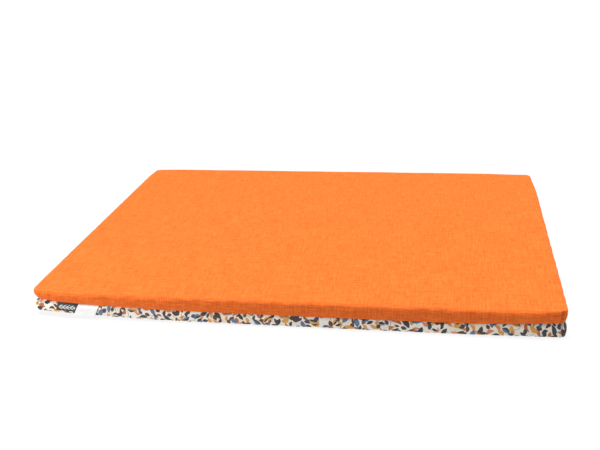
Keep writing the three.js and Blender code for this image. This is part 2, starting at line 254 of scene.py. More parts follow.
def flap(grid, depth, tuck, lean):
    """Rings from a panel's flat rim to its seam, as the inset and the distance from the panel's face for
    every station. depth is that distance at the seam. tuck says how late the cloth turns in to it, and lean
    how far the leaning corners make that a straight slant. The corner seams are grooves with raised lips."""
    x, y = grid.outline.T
    tuck = tuck - (tuck - 1) * lean * corner_pull(x, y, "lean")
    radius = grid.edge * (1 - corner_pull(x, y, "sharp"))
    rings = []
    for turn in SHOULDER_TURNS:
        rings.append([radius * (1 - math.sin(turn)), radius * (1 - math.cos(turn))])
    for share in FALL_SHARES:
        bulge = FLAP_BULGE * math.sin(math.pi * share**0.8)
        rings.append([rim["drawn"] * share**tuck - bulge, radius + (depth - radius) * share])
    for k, (inset, _) in enumerate(rings):
        groove = DART_DEPTH * min(1.0, max(0.0, (k - 1.5) / 2.5))
        for station in grid.corner_at.values():
            inset[station] += groove
            for away, share in LIP_OF_GROOVE.items():
                inset[(station + away) % grid.stations] -= share * groove
    return rings


def cover_rings():
    """The cover's points: the upper grid, the rings down to the seam, those below it, and the lower grid."""
    top_z = top_height(*top_grid.placed.T)
    base_z = base_height(*base_grid.placed.T)
    opened = SEAM_GAP / 2 + rim["opening"] * (ZIP_SLOT_HALF - SEAM_GAP / 2)
    face, floor = top_z[top_grid.rim], base_z[base_grid.rim]
    upper = flap(top_grid, face - rim["height"] - opened, 3, 1)
    lower = flap(base_grid, rim["height"] - opened - floor, 5, 0)
    upper = [top_grid.at(inset, face - fall) for inset, fall in upper]
    lower = [base_grid.at(inset, floor + rise) for inset, rise in lower]
    top = np.column_stack([top_grid.placed, top_z])
    base = np.column_stack([base_grid.placed, base_z])
    return top, upper, lower, base


# ---------------------------------------------------------------- meshes


def new_object(name, points, faces, corners=None):
    mesh = bpy.data.meshes.new(name)
    mesh.from_pydata([tuple(p) for p in points], [], [tuple(int(i) for i in f) for f in faces])
    mesh.polygons.foreach_set("use_smooth", [True] * len(mesh.polygons))
    if corners is not None:
        layer = mesh.uv_layers.new(name="cloth")
        layer.data.foreach_set("uv", np.asarray(corners, np.float32).ravel())
    mesh.update()
    obj = bpy.data.objects.new(name, mesh)
    bpy.context.scene.collection.objects.link(obj)
    return obj


def band_faces(above, below):
    """Quads between two rings of point numbers, facing out."""
    return np.stack([above, below, np.roll(below, -1), np.roll(above, -1)], 1)


def closed_faces(upper_grid, ring_count, lower_grid):
    """The faces of an upper grid, rings down its side, and a lower grid, in that order of points."""
    stations, first = upper_grid.stations, len(upper_grid.flat)
    last = first + ring_count * stations
    numbers = [upper_grid.rim]
    numbers += [first + k * stations + np.arange(stations) for k in range(ring_count)]
    numbers.append(last + lower_grid.rim)
    bands = [band_faces(above, below) for above, below in zip(numbers, numbers[1:])]
    return np.vstack([upper_grid.faces, *bands, last + lower_grid.faces[:, ::-1]])


def add_modifier(obj, kind, **settings):
    modifier = obj.modifiers.new(kind.lower(), kind)
    for key, value in settings.items():
        setattr(modifier, key, value)
    return modifier


def thicken(obj, thickness, offset=-1):
    add_modifier(obj, "SOLIDIFY", thickness=thickness, offset=offset)


def subdivide(obj, levels=1):
    add_modifier(obj, "SUBSURF", levels=levels, render_levels=levels)


# ---------------------------------------------------------------- how the cloth settles


SETTLE_FRAMES = 22
SETTLE_CAP = 1.3 * MM  # how far the simulation may move a point
FLAT_CAP = 0.25 * MM  # the same on the flat cloth over the foam


def settled(points, faces, hold, cap):
    """The points after cloth simulation under a little pressure from the foam. hold pins them, from 0 to 1,
    and cap is how far each may move."""
    scene = bpy.context.scene
    obj = new_object("settling_cloth", points, faces)
    group = obj.vertex_groups.new(name="hold")
    for k, weight in enumerate(hold):
        group.add([k], float(weight), "REPLACE")
    cloth = obj.modifiers.new("cloth", "CLOTH")
    settings = cloth.settings
    settings.quality = 5
    settings.mass = 0.25
    settings.tension_stiffness = settings.compression_stiffness = 14
    settings.shear_stiffness = 6
    settings.bending_stiffness = 0.35
    settings.shrink_min = -0.006
    settings.use_pressure = True
    settings.uniform_pressure_force = 1.5
    settings.effector_weights.gravity = 0
    settings.vertex_group_mass = "hold"
    cloth.collision_settings.use_collision = False
    cloth.point_cache.frame_end = SETTLE_FRAMES
    for frame_number in range(1, SETTLE_FRAMES + 1):
        scene.frame_set(frame_number)
    result = obj.evaluated_get(bpy.context.evaluated_depsgraph_get())
    moved = np.zeros(3 * len(points), np.float32)
    result.data.vertices.foreach_get("co", moved)
    moved = moved.reshape(-1, 3).astype(float) - points
    bpy.data.objects.remove(obj)
    scene.frame_set(1)
    far = np.linalg.norm(moved, axis=1)
    return points + moved * np.minimum(1, cap / np.maximum(far, 1e-9))[:, None]


def settled_cover():
    """The cover's rings again, after its cloth has settled. The seam and the cloth round the zip stay put."""
    top, upper, lower, base = cover_rings()
    rings = [*upper, *lower[::-1]]
    points = np.vstack([top, *rings, base])
    faces = closed_faces(top_grid, len(rings), base_grid)
    count = len(SHOULDER_TURNS)
    free_side = rim["free"] * (1 - smooth(rim["opening"] * 4))
    holds = [np.full(len(top), 0.5)]
    caps = [np.full(len(top), FLAT_CAP)]
    for k in range(len(rings)):
        from_face = min(k, len(rings) - 1 - k) / count
        at_seam = k in (len(upper) - 1, len(upper))
        loose = 0.0 if at_seam else 0.85 * min(1.0, 0.3 + from_face)
        holds.append(1 - loose * free_side)
        caps.append(SETTLE_CAP * (0.0 if at_seam else 1.0) * free_side)
    holds.append(np.full(len(base), 0.6))
    caps.append(np.full(len(base), 0.0))
    points = settled(points, faces, np.concatenate(holds), np.concatenate(caps))
    top, rest = points[: len(top)], points[len(top) :]
    base, rest = rest[-len(base) :], rest[: -len(base)]
    rings = np.split(rest, len(rings))
    return top, rings[: len(upper)], rings[: len(upper) - 1 : -1], base


# ---------------------------------------------------------------- the cover's two panels


def lip_rings(grid, edge, way):
    """The seam allowance: the panel's edge turned in behind the seam. way is 1 upwards and -1 downwards."""
    steps = ((0.3, -0.28), (0.95, -0.4), (1.6, -0.1), (1.9, 1.0), (1.9, 4.6))
    return [
        edge + MM * np.column_stack([grid.inward * inward, np.full(grid.stations, way * rise)])
        for inward, rise in steps
    ]


def side_cloth_uv(grid, along):
    """Cloth coordinates in metres for a ring that lies the distance along out from the flat rim, for each
    station and for the next one. A flap keeps its side's direction, so two flaps meet at a sewn corner."""
    flat = grid.flat[grid.rim]
    out = np.array([(0, -1), (1, 0), (0, 1), (-1, 0)])[grid.side_of]
    return flat + out * along, np.roll(flat, -1, 0) + out * along


def panel(name, grid, middle, rings, way):
    """One panel as a closed piece of cloth: its flat middle, its flap, and the lip turned in at the seam."""
    rings = rings + lip_rings(grid, rings[-1], way)
    points = np.vstack([middle, *rings])
    numbers = [grid.rim]
    numbers += [len(middle) + k * grid.stations + np.arange(grid.stations) for k in range(len(rings))]
    faces, corners = [grid.faces], [grid.flat[grid.faces]]
    previous, along = middle[grid.rim], 0.0
    for ring, above, below in zip(rings, numbers, numbers[1:]):
        further = along + np.linalg.norm(ring - previous, axis=1).mean()
        faces.append(band_faces(above, below))
        (a0, a1), (b0, b1) = side_cloth_uv(grid, along), side_cloth_uv(grid, further)
        corners.append(np.stack([a0, b0, b1, a1], 1))
        previous, along = ring, further
    faces, corners = np.vstack(faces), np.vstack(corners)
    if way < 0:
        faces, corners = faces[:, ::-1], corners[:, ::-1]
    obj = new_object(name, points, faces, corners.reshape(-1, 2))
    crease_corners(obj, grid, len(middle), len(SHOULDER_TURNS))
    thicken(obj, CLOTH)
    subdivide(obj)
    return obj


def crease_corners(obj, grid, first, skip):
    """Keeps the cloth sharp along each sewn corner. first is the rings' first point, and skip says how many
    rings of the rounded shoulder to leave out."""
    crease = obj.data.attributes.new("crease_edge", "FLOAT", "EDGE")
    seams = set(grid.corner_at.values())
    for edge in obj.data.edges:
        low, high = sorted(edge.vertices)
        ring, station = divmod(low - first, grid.stations)
        if high - low == grid.stations and ring >= skip and station in seams:
            crease.data[edge.index].value = 1.0


RAY_START = 60 * MM  # how far outside the pad a ray starts


class Skin:
    """The outside of finished pieces, for placing what is sewn on them."""

    def __init__(self, *pieces):
        graph = bpy.context.evaluated_depsgraph_get()
        self.trees = [BVHTree.FromObject(piece, graph) for piece in pieces]

    def hit(self, start, way):
        """Where a ray from start along way first meets the skin, or None."""
        hits = [tree.ray_cast(Vector(start), Vector(way)) for tree in self.trees]
        hits = [h for h in hits if h[0] is not None]
        return np.array(min(hits, key=lambda h: h[3])[0]) if hits else None


def tubes(name, runs, sides=6):
    """Thin tubes as one object. A run is its points, and the outward direction and the radius at each."""
    turns = np.linspace(0, 2 * math.pi, sides, endpoint=False)
    points, faces, start = [], [], 0
    for path, outs, radii in runs:
        ahead = np.gradient(path, axis=0)
        ahead /= np.linalg.norm(ahead, axis=1)[:, None]
        outs = outs - (outs * ahead).sum(1)[:, None] * ahead
        outs /= np.linalg.norm(outs, axis=1)[:, None]
        across = np.cross(ahead, outs)
        rise, swing = np.cos(turns)[None, :, None], np.sin(turns)[None, :, None]
        spokes = rise * outs[:, None] + swing * across[:, None]
        points.append((path[:, None] + spokes * radii[:, None, None]).reshape(-1, 3))
        count = len(path)
        n = start + np.arange(count * sides).reshape(count, sides)
        near, far = n[:-1], n[1:]
        quads = np.stack([near, np.roll(near, -1, 1), np.roll(far, -1, 1), far], -1)
        faces += [tuple(f) for f in quads.reshape(-1, 4)]
        faces += [tuple(n[0][::-1]), tuple(n[-1])]
        start += count * sides
    return new_object(name, np.vstack(points), faces)


def spaced(path, outs, step):
    """The same path and directions with points a step apart."""
    lengths = np.concatenate([[0], np.cumsum(np.linalg.norm(np.diff(path, axis=0), axis=1))])
    wanted = np.arange(0, lengths[-1], step)
    return [np.column_stack([np.interp(wanted, lengths, v) for v in values.T]) for values in (path, outs)]


def stitches(name, path, outs, pitch, length, radius):
    """A row of stitches along a path, each one rising out of the cloth and sinking in again."""
    steps = 12  # points along the path for each stitch and the gap after it
    path, outs = spaced(path, outs, pitch / steps)
    reach = round(steps * length / pitch)
    rise = np.array([-0.9, 0.25, 0.55, 0.55, 0.25, -0.9]) * radius
    radii = np.array([0.6, 0.95, 1.0, 1.0, 0.95, 0.6]) * radius
    picks = np.linspace(0, reach, len(rise)).round().astype(int)
    runs = []
    for start in range(0, len(path) - reach, steps):
        at = start + picks
        runs.append((path[at] + outs[at] * rise[:, None], outs[at], radii))
    return tubes(name, runs)


# ---------------------------------------------------------------- materials


class Nodes:
    """Short ways to add shader nodes to one material."""

    def __init__(self, name):
        self.material = bpy.data.materials.new(name)
        self.material.use_nodes = True
        self.tree = self.material.node_tree
        self.shader = self.tree.nodes["Principled BSDF"]

    def add(self, kind, **settings):
        node = self.tree.nodes.new("ShaderNode" + kind)
        for key, value in settings.items():
            setattr(node, key, value)
        return node

    def link(self, value, socket):
        if isinstance(value, bpy.types.NodeSocket):
            self.tree.links.new(value, socket)
        else:
            socket.default_value = value

    def math(self, operation, a, b=0.0, c=0.0, clamp=False):
        node = self.add("Math", operation=operation, use_clamp=clamp)
        for socket, value in zip(node.inputs, (a, b, c)):
            self.link(value, socket)
        return node.outputs[0]

    def vector(self, operation, a, b):
        node = self.add("VectorMath", operation=operation)
        self.link(a, node.inputs[0])
        self.link(b, node.inputs["Scale"] if operation == "SCALE" else node.inputs[1])
        return node.outputs[0]

    def ramp(self, value, low, high):
        """0 below low, 1 above high, smooth between."""
        node = self.add("MapRange", interpolation_type="SMOOTHSTEP")
        for socket, number in zip(node.inputs, (value, low, high, 0.0, 1.0)):
            self.link(number, socket)
        return node.outputs[0]

    def mix(self, share, a, b):
        node = self.add("Mix", data_type="RGBA")
        for index, value in ((0, share), (6, a), (7, b)):
            self.link(value, node.inputs[index])
        return node.outputs[2]

    def wave(self, value, length):
        """A wave of that length, from 0 to 1."""
        swing = self.math("SINE", self.math("MULTIPLY", value, 2 * math.pi / length))
        return self.math("MULTIPLY_ADD", swing, 0.5, 0.5)

    def noise(self, vector, scale, detail=2.0, stretch=(1, 1, 1)):
        node = self.add("TexNoise")
        self.link(self.vector("MULTIPLY", vector, stretch), node.inputs["Vector"])
        node.inputs["Scale"].default_value = scale
        node.inputs["Detail"].default_value = detail
        return node.outputs[0]

    def cloth_place(self):
        """The point's place on the flat cloth, in metres."""
        return self.add("UVMap", uv_map="cloth").outputs[0]

    def object_place(self):
        return self.add("TexCoord").outputs["Object"]

    def parts(self, vector):
        node = self.add("SeparateXYZ")
        self.link(vector, node.inputs[0])
        return node.outputs[0], node.outputs[1], node.outputs[2]

    def finish(self, color, roughness, height=None, depth=0.0, **plain):
        self.link(color, self.shader.inputs["Base Color"])
        self.link(roughness, self.shader.inputs["Roughness"])
        for name, value in plain.items():
            self.shader.inputs[name.replace("_", " ")].default_value = value
        if height is not None:
            bump = self.add("Bump")
            bump.inputs["Distance"].default_value = depth
            self.link(height, bump.inputs["Height"])
            self.link(bump.outputs[0], self.shader.inputs["Normal"])
        return self.material


def yarns(n, place, pitch):
    """Plain weave from yarns of that pitch both ways: how high the cloth stands, from 0 to 1."""
    u, v, _ = n.parts(place)
    wave_u = n.math("SINE", n.math("MULTIPLY", u, math.pi / pitch))
    wave_v = n.math("SINE", n.math("MULTIPLY", v, math.pi / pitch))
    over = n.math("MULTIPLY", wave_u, wave_v)
    return n.math("MULTIPLY_ADD", over, 0.5, 0.5)


def streaks(n, place, long, thick):
    """Uneven yarns: streaks along each of the cloth's two directions, each from 0 to 1."""
    along = n.noise(place, 1.0, 2.0, (1 / long, 1 / thick, 1))
    across = n.noise(n.vector("ADD", place, (3.7, 1.9, 0)), 1.0, 2.0, (1 / thick, 1 / long, 1))
    return n.ramp(along, 0.34, 0.66), n.ramp(across, 0.34, 0.66)


def weighted(n, *terms):
    """The sum of values times numbers."""
    total = 0.0
    for value, weight in terms:
        total = n.math("MULTIPLY_ADD", value, weight, total)
    return total


def orange_cloth():
    n = Nodes("orange_slub_cloth")
    place = n.cloth_place()
    weave = yarns(n, place, 0.62 * MM)
    slub_u, slub_v = streaks(n, n.vector("ADD", place, (0.7, 0.3, 0)), 42 * MM, 1.7 * MM)
    long_u, long_v = streaks(n, place, 13 * MM, 0.78 * MM)
    fine_u, fine_v = streaks(n, place, 5 * MM, 0.55 * MM)
    cloud = n.noise(place, 22.0, 3.0)
    slubs = ((slub_u, 0.14), (slub_v, 0.14), (long_u, 0.24), (long_v, 0.22), (fine_u, 0.10), (fine_v, 0.10))
    light = weighted(n, *slubs, (weave, 0.10), (cloud, 0.08))
    light = n.ramp(light, 0.04, 1.08)
    color = n.mix(light, (0.64, 0.080, 0.003, 1), (0.97, 0.218, 0.036, 1))
    height = weighted(n, (long_u, 0.25), (long_v, 0.25), (fine_u, 0.3), (fine_v, 0.3), (weave, 0.45))
    sheen = {"Sheen_Weight": 0.06, "Sheen_Roughness": 0.4, "Sheen_Tint": (1, 0.7, 0.5, 1)}
    return n.finish(color, 0.8, height, 0.28 * MM, Specular_IOR_Level=0.18, **sheen)


PRINT = {
    "brown": (0.085, 0.036, 0.022, 1),
    "navy": (0.016, 0.024, 0.048, 1),
    "steel": (0.085, 0.170, 0.310, 1),
    "mustard": (0.680, 0.330, 0.045, 1),
    "violet": (0.035, 0.045, 0.130, 1),
    "rust": (0.480, 0.125, 0.026, 1),
    "umber": (0.040, 0.030, 0.020, 1),
    "apricot": (0.680, 0.240, 0.070, 1),
    "charcoal": (0.022, 0.024, 0.026, 1),
}


def chosen_colour(n, value, names):
    """One of the print's colours, by a random value from 0 to 1."""
    ramp = n.add("ValToRGB")
    ramp.color_ramp.interpolation = "CONSTANT"
    elements = ramp.color_ramp.elements
    while len(elements) < len(names):
        elements.new(1.0)
    for k, name in enumerate(names):
        elements[k].position = k / len(names)
        elements[k].color = PRINT[name]
    n.link(value, ramp.inputs[0])
    return ramp.outputs[0]


def reshuffled(n, value, times):
    """Another random value from 0 to 1, made from one."""
    return n.math("FRACT", n.math("MULTIPLY", value, times))


PRINT_CELL = 11.6 * MM  # each layer of the print has one motif to a cell this wide
PRINT_TURN = 0.46  # turns the rows of cells off the pad's sides, in radians


def motifs(n, place, under, corner, names, length, width, kept, bend=0.5, point=1.8, two_tone=0.25):
    """One layer of the print over what is under it: a motif to a cell, each with its own turn, size and
    colour. corner shifts the cells, so that layers fall between each other. length and width are in
    millimetres, and kept is the share of cells that have a motif. point is low for a pointed leaf and high
    for a blunt one, bend curves it into an arc, and two_tone is the share that have two colours."""
    cell = PRINT_CELL / MM
    scaled = n.vector("ADD", n.vector("SCALE", place, 1 / PRINT_CELL), (*corner, 0))
    cells = n.add("TexVoronoi", voronoi_dimensions="2D")
    n.link(scaled, cells.inputs["Vector"])
    cells.inputs["Scale"].default_value = 1.0
    cells.inputs["Randomness"].default_value = 0.34
    first, second, third = n.parts(cells.outputs["Color"])
    turned = n.add("VectorRotate", rotation_type="Z_AXIS")
    n.link(n.vector("SUBTRACT", scaled, cells.outputs["Position"]), turned.inputs["Vector"])
    n.link(n.math("MULTIPLY", first, 2 * math.pi), turned.inputs["Angle"])
    x, y, _ = n.parts(turned.outputs[0])
    size = n.math("MULTIPLY_ADD", third, 0.35, 0.8)
    x, y = n.math("DIVIDE", x, size), n.math("DIVIDE", y, size)
    curve = n.math("MULTIPLY_ADD", second, bend, bend / 2)
    y = n.math("ADD", y, n.math("MULTIPLY", n.math("MULTIPLY", x, x), curve))
    half_length, half_width = length / cell / 2, width / cell / 2
    reach = n.math("POWER", n.math("ABSOLUTE", n.math("DIVIDE", x, half_length)), point)
    edge = n.math("MULTIPLY", n.math("SUBTRACT", 1.0, reach), half_width)
    shown = n.ramp(n.math("SUBTRACT", edge, n.math("ABSOLUTE", y)), 0.0, 0.1 / cell)
    present = n.math("LESS_THAN", reshuffled(n, third, 7.3), kept)
    divided = n.math("LESS_THAN", reshuffled(n, first, 9.1), two_tone)
    far_half = n.math("MULTIPLY", divided, n.math("GREATER_THAN", y, 0.0))
    colour = chosen_colour(n, reshuffled(n, second, 5.7), names)
    colour = n.mix(far_half, colour, chosen_colour(n, reshuffled(n, first, 3.3), names))
    return n.mix(n.math("MULTIPLY", shown, present), under, colour)


def printed_cloth():
    n = Nodes("leaf_print_cloth")
    place = n.cloth_place()
    weave = yarns(n, place, 0.5 * MM)
    tint = n.ramp(n.noise(place, 38.0, 1.0), 0.35, 0.65)
    ground = n.mix(tint, (0.87, 0.74, 0.58, 1), (0.86, 0.81, 0.74, 1))
    tilted = n.add("VectorRotate", rotation_type="Z_AXIS")
    n.link(place, tilted.inputs["Vector"])
    tilted.inputs["Angle"].default_value = PRINT_TURN
    lay = tilted.outputs[0]
    dark = ("umber", "navy", "charcoal", "brown")
    warm = ("rust", "apricot", "brown", "mustard", "apricot")
    cool = ("navy", "steel", "charcoal", "steel", "umber", "mustard")
    mixed = ("brown", "mustard", "umber", "violet", "brown", "rust")
    color = motifs(n, lay, ground, (40.25, 11.75), dark, 10.5, 0.5, 0.8, bend=0.8, point=4, two_tone=0)
    color = motifs(n, lay, color, (20.5, 31.5), warm, 9.4, 3.5, 0.95, bend=1.3, point=2.2)
    color = motifs(n, lay, color, (60.5, 17.0), mixed, 7.0, 4.6, 0.9, bend=0.1, point=2.2)
    color = motifs(n, lay, color, (33.0, 55.5), dark, 7.8, 3.4, 0.75, bend=0.6)
    color = motifs(n, lay, color, (10.0, 10.0), cool, 9.8, 4.8, 1.0, bend=0.4, point=2.0, two_tone=0.5)
    # Paler, by up to 7 per cent, where the weave's yarns stand high.
    paler_on_raised_yarns = n.mix(n.math("MULTIPLY", weave, 0.07), color, (0.85, 0.82, 0.78, 1))
    return n.finish(paler_on_raised_yarns, 0.84, weave, 0.07 * MM, Sheen_Weight=0.04, Sheen_Roughness=0.5)


def foam_material():
    n = Nodes("foam")
    place = n.object_place()
    cells = n.add("TexVoronoi")
    n.link(place, cells.inputs["Vector"])
    cells.inputs["Scale"].default_value = 900
    color = n.mix(cells.outputs["Distance"], (0.72, 0.64, 0.42, 1), (0.86, 0.80, 0.60, 1))
    return n.finish(color, 0.95, cells.outputs["Distance"], 0.5 * MM)


def thread_material(name, dark, light):
    n = Nodes(name)
    x, y, z = n.parts(n.object_place())
    run = n.math("ADD", n.math("ADD", x, y), n.math("MULTIPLY", z, 1.6))
    twist = n.wave(run, 0.55 * MM)
    fuzz = n.noise(n.object_place(), 2500.0, 2.0)
    color = n.mix(n.math("MULTIPLY", n.math("ADD", twist, fuzz), 0.5), dark, light)
    return n.finish(color, 0.7, twist, 0.06 * MM, Sheen_Weight=0.03)


def tape_material():
    n = Nodes("zip_tape")
    x, _, z = n.parts(n.object_place())
    diagonal = n.wave(n.math("ADD", x, z), 1.0 * MM)
    steep = n.wave(n.math("SUBTRACT", x, n.math("MULTIPLY", z, 2.0)), 0.7 * MM)
    height = n.math("MULTIPLY", n.math("ADD", diagonal, steep), 0.5)
    color = n.mix(height, (0.50, 0.085, 0.012, 1), (0.80, 0.17, 0.025, 1))
    return n.finish(color, 0.78, height, 0.1 * MM, Sheen_Weight=0.2)


def nylon_material():
    n = Nodes("zip_nylon")
    cloud = n.noise(n.object_place(), 1800.0, 2.0)
    color = n.mix(cloud, (0.56, 0.10, 0.014, 1), (0.78, 0.17, 0.024, 1))
    return n.finish(color, n.math("MULTIPLY_ADD", cloud, 0.2, 0.28), cloud, 0.02 * MM)


def metal_material():
    n = Nodes("zip_nickel")
    place = n.object_place()
    brushed = n.noise(place, 1.0, 3.0, (500, 9000, 9000))
    rub = n.noise(place, 420.0, 4.0)
    color = n.mix(rub, (0.42, 0.41, 0.39, 1), (0.68, 0.67, 0.64, 1))
    roughness = n.math("MULTIPLY_ADD", n.math("ADD", brushed, rub), 0.16, 0.14)
    return n.finish(color, roughness, brushed, 0.015 * MM, Metallic=1.0)


def band(n, value, low, high, soft):
    """1 where the value lies between low and high, with soft edges."""
    rise = n.ramp(value, low - soft, low + soft)
    fall = n.ramp(value, high - soft, high + soft)
    return n.math("SUBTRACT", rise, fall, clamp=True)


def woven_label_material():
    """Dark damask with a pale sprig: a stem with a row of slanted leaves either side of it."""
    n = Nodes("woven_label_damask")
    u, v, _ = n.parts(n.cloth_place())
    weave = yarns(n, n.cloth_place(), 0.28 * MM)
    pitch, middle, reach = 4.5 * MM, 4.6 * MM, 2.7 * MM
    side = n.math("ABSOLUTE", n.math("SUBTRACT", v, middle))
    slanted = n.math("SUBTRACT", n.math("DIVIDE", u, pitch), n.math("DIVIDE", side, 2.4 * MM))
    across = n.math("ABSOLUTE", n.math("SUBTRACT", n.math("FRACT", slanted), 0.5))
    along = n.math("DIVIDE", side, reach)
    plump = n.math("MULTIPLY", along, n.math("SUBTRACT", 1.0, along))
    leaf = n.ramp(n.math("SUBTRACT", plump, across), 0.0, 0.05)
    leaf = n.math("MULTIPLY", leaf, band(n, u, 3.2 * MM, 22.3 * MM, 0.1 * MM))
    stem = n.math("MULTIPLY", n.ramp(side, 0.34 * MM, 0.2 * MM), band(n, u, 2.4 * MM, 23 * MM, 0.1 * MM))
    shown = n.math("MAXIMUM", leaf, stem)
    ground = n.mix(weave, (0.006, 0.008, 0.016, 1), (0.016, 0.020, 0.036, 1))
    thread = n.mix(weave, (0.55, 0.58, 0.55, 1), (0.86, 0.88, 0.84, 1))
    return n.finish(n.mix(shown, ground, thread), 0.5, weave, 0.05 * MM, Sheen_Weight=0.1)


def care_label_material():
    """White satin ribbon with faint, plain grey bars."""
    n = Nodes("care_label_satin")
    place = n.cloth_place()
    u, v, _ = n.parts(place)
    ribs = n.wave(v, 0.24 * MM)
    bars = 0.0
    for low, high, start, end in ((3.6, 4.5, 5.0, 17.5), (6.0, 6.7, 5.0, 14.0)):
        tall = band(n, v, low * MM, high * MM, 0.1 * MM)
        long = band(n, u, start * MM, end * MM, 0.2 * MM)
        bars = n.math("ADD", bars, n.math("MULTIPLY", tall, long))
    ribbon = n.mix(ribs, (0.86, 0.86, 0.86, 1), (0.93, 0.93, 0.925, 1))
    color = n.mix(n.math("MULTIPLY", bars, 0.5), ribbon, (0.55, 0.57, 0.62, 1))
    return n.finish(color, 0.38, ribs, 0.02 * MM, Sheen_Weight=0.25)


def paint(obj, material, body):
    if obj.data.materials:
        for k in range(len(obj.data.materials)):
            obj.data.materials[k] = material
    else:
        obj.data.materials.append(material)
    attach(obj, body)
    return obj


# ---------------------------------------------------------------- the cover


def build_cover():
    top, upper, lower, base = settled_cover()
    cover = panel("top_cover_cloth", top_grid, top, upper, 1)
    under = panel("base_cover_cloth", base_grid, base, lower, -1)
    paint(cover, orange_cloth(), "pad")
    paint(under, printed_cloth(), "pad")
    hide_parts("top_cover")
    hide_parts("base_cover")
    return Skin(cover, under)


FOAM_INSET = 2.9 * MM
FOAM_ZIP_ROOM = 2.4 * MM
FOAM_EDGE = 4 * MM
FOAM_CORNER = 9 * MM
FOAM_CELLS = (56, 42)


def build_foam():
    """The slab fills the cover, a little smaller than its inside, with more room at the back for the zip."""
    half = HALF - FOAM_INSET
    grid = Grid(FOAM_EDGE, half=half, cells=FOAM_CELLS, corner=FOAM_CORNER)
    x, y = grid.outline.T
    at_back = smooth((y - half[1] + 3 * MM) / (3 * MM))
    tucked = MM * corner_pull(x, y, "drawn") + FOAM_ZIP_ROOM * at_back
    high = top_height(*grid.placed.T) - CLOTH - 0.6 * MM
    low = base_height(*grid.placed.T) + CLOTH + 0.4 * MM
    rings = []
    for way, face in ((-1, high[grid.rim]), (1, low[grid.rim])):
        turns = SHOULDER_TURNS if way < 0 else SHOULDER_TURNS[::-1]
        for turn in turns:
            inset = FOAM_EDGE * (1 - math.sin(turn)) + tucked * math.sin(turn)
            rings.append(grid.at(inset, face + way * FOAM_EDGE * (1 - math.cos(turn))))
    top = np.column_stack([grid.placed, high])
    base = np.column_stack([grid.placed, low])
    points = np.vstack([top, *rings, base])
    foam = new_object("foam_slab", points, closed_faces(grid, len(rings), grid))
    paint(foam, foam_material(), "pad")
    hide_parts("foam_core")


# ---------------------------------------------------------------- sewing


def build_seam_stitching(thread):
    """The thread that joins the panels shows as short stitches deep in the seam."""
    order = np.roll(np.arange(top_grid.stations), -top_grid.corner_at["back_left"])
    height = rim["height"] - 0.35 * MM
    valley = top_grid.at(rim["drawn"] + 0.4 * MM, height)[order]
    outs = np.column_stack([-top_grid.inward, np.zeros(top_grid.stations)])[order]
    sewn = rim["opening"][order] < 0.05
    first = np.argmax(~sewn)
    valley, outs, sewn = (np.roll(values, -first, axis=0) for values in (valley, outs, sewn))
    row = stitches("seam_stitching", valley[sewn], outs[sewn], 3.0 * MM, 2.3 * MM, 0.24 * MM)
    paint(row, thread, "pad")
    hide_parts("seam_thread")


def upright_row(skin, name, node, x, y, out, low, high, thread, slot):
    """A row of stitches up a sewn corner. out points away from the pad."""
    heights = np.linspace(low, high, 12)
    start = np.array([x, y, 0]) + np.array(out) * RAY_START
    path = [skin.hit(start + (0, 0, z), [-v for v in out]) for z in heights]
    row = stitches(name, np.array(path), np.tile(out, (len(path), 1)), 2.2 * MM, 1.8 * MM, 0.27 * MM)
    paint(row, thread, "pad")
    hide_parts(node)


def build_corner_stitching(skin, orange, cream):
    for corner, facts in CORNERS.items():
        station = top_grid.corner_at[corner]
        x, y = top_grid.outline[station]
        out = (*-top_grid.inward[station], 0)
        seam = rim["height"][station]
        floor = MM * facts["floor"]
        face = HEIGHT - MM * facts["drop"]
        # The upper rows take the dark orange thread, whose darkness is partly painted shade along the corner
        # seam.
        place = (skin, f"corner_stitching_top_{corner}", f"top_corner_thread_{corner}", x, y, out)
        upright_row(*place, seam + 1.8 * MM, face - 3.2 * MM, orange, "orange_thread")
        place = (skin, f"corner_stitching_base_{corner}", f"base_corner_thread_{corner}", x, y, out)
        upright_row(*place, floor + 2.6 * MM, seam - 1.8 * MM, cream, "cream_thread")


# ---------------------------------------------------------------- the zip

coil_low, coil_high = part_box("zip_coil_upper")
slider_low, slider_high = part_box("zip_slider")
SLIDER_X = (slider_low.x + slider_high.x) / 2
COIL_DEPTH = coil_high.y - coil_low.y
COIL_Y = (coil_high.y + coil_low.y) / 2
COIL_WIRE = 0.27 * MM
COIL_PITCH = 1.35 * MM
COIL_HALF_HEIGHT = 0.95 * MM
COIL_CLOSED = 0.93 * MM  # from the zip's middle line to the middle of a closed coil
COIL_PARTED = 1.88 * MM
PARTS_OVER = 2.5 * MM  # the length in which the coils part, under the slider
STITCH_HEIGHT = 6.5 * MM  # from the zip's middle line
STITCH_HALF_LENGTH = 249 * MM
TACK_AT = 250 * MM


def coil_run(side):
    """One nylon spiral: its loops reach between the other one's, until the slider parts them."""
    per_turn = 10
    turns = (coil_high.x - coil_low.x - 2 * COIL_WIRE) / COIL_PITCH
    t = np.arange(0, turns, 1 / per_turn)
    x = coil_low.x + COIL_WIRE + t * COIL_PITCH
    parted = smooth((SLIDER_X + 1.5 * MM - x) / PARTS_OVER)
    middle = COIL_CLOSED + (COIL_PARTED - COIL_CLOSED) * parted
    angle = 2 * math.pi * t + (math.pi if side < 0 else 0)
    out, up = np.cos(angle), np.sin(angle)
    across = side * middle + up * (COIL_HALF_HEIGHT - COIL_WIRE)
    depth = COIL_Y + out * (COIL_DEPTH / 2 - COIL_WIRE)
    path = np.column_stack([x, depth, SEAM_Z + across])
    outs = np.column_stack([0 * x, out, up])
    return path, outs, np.full(len(path), COIL_WIRE)


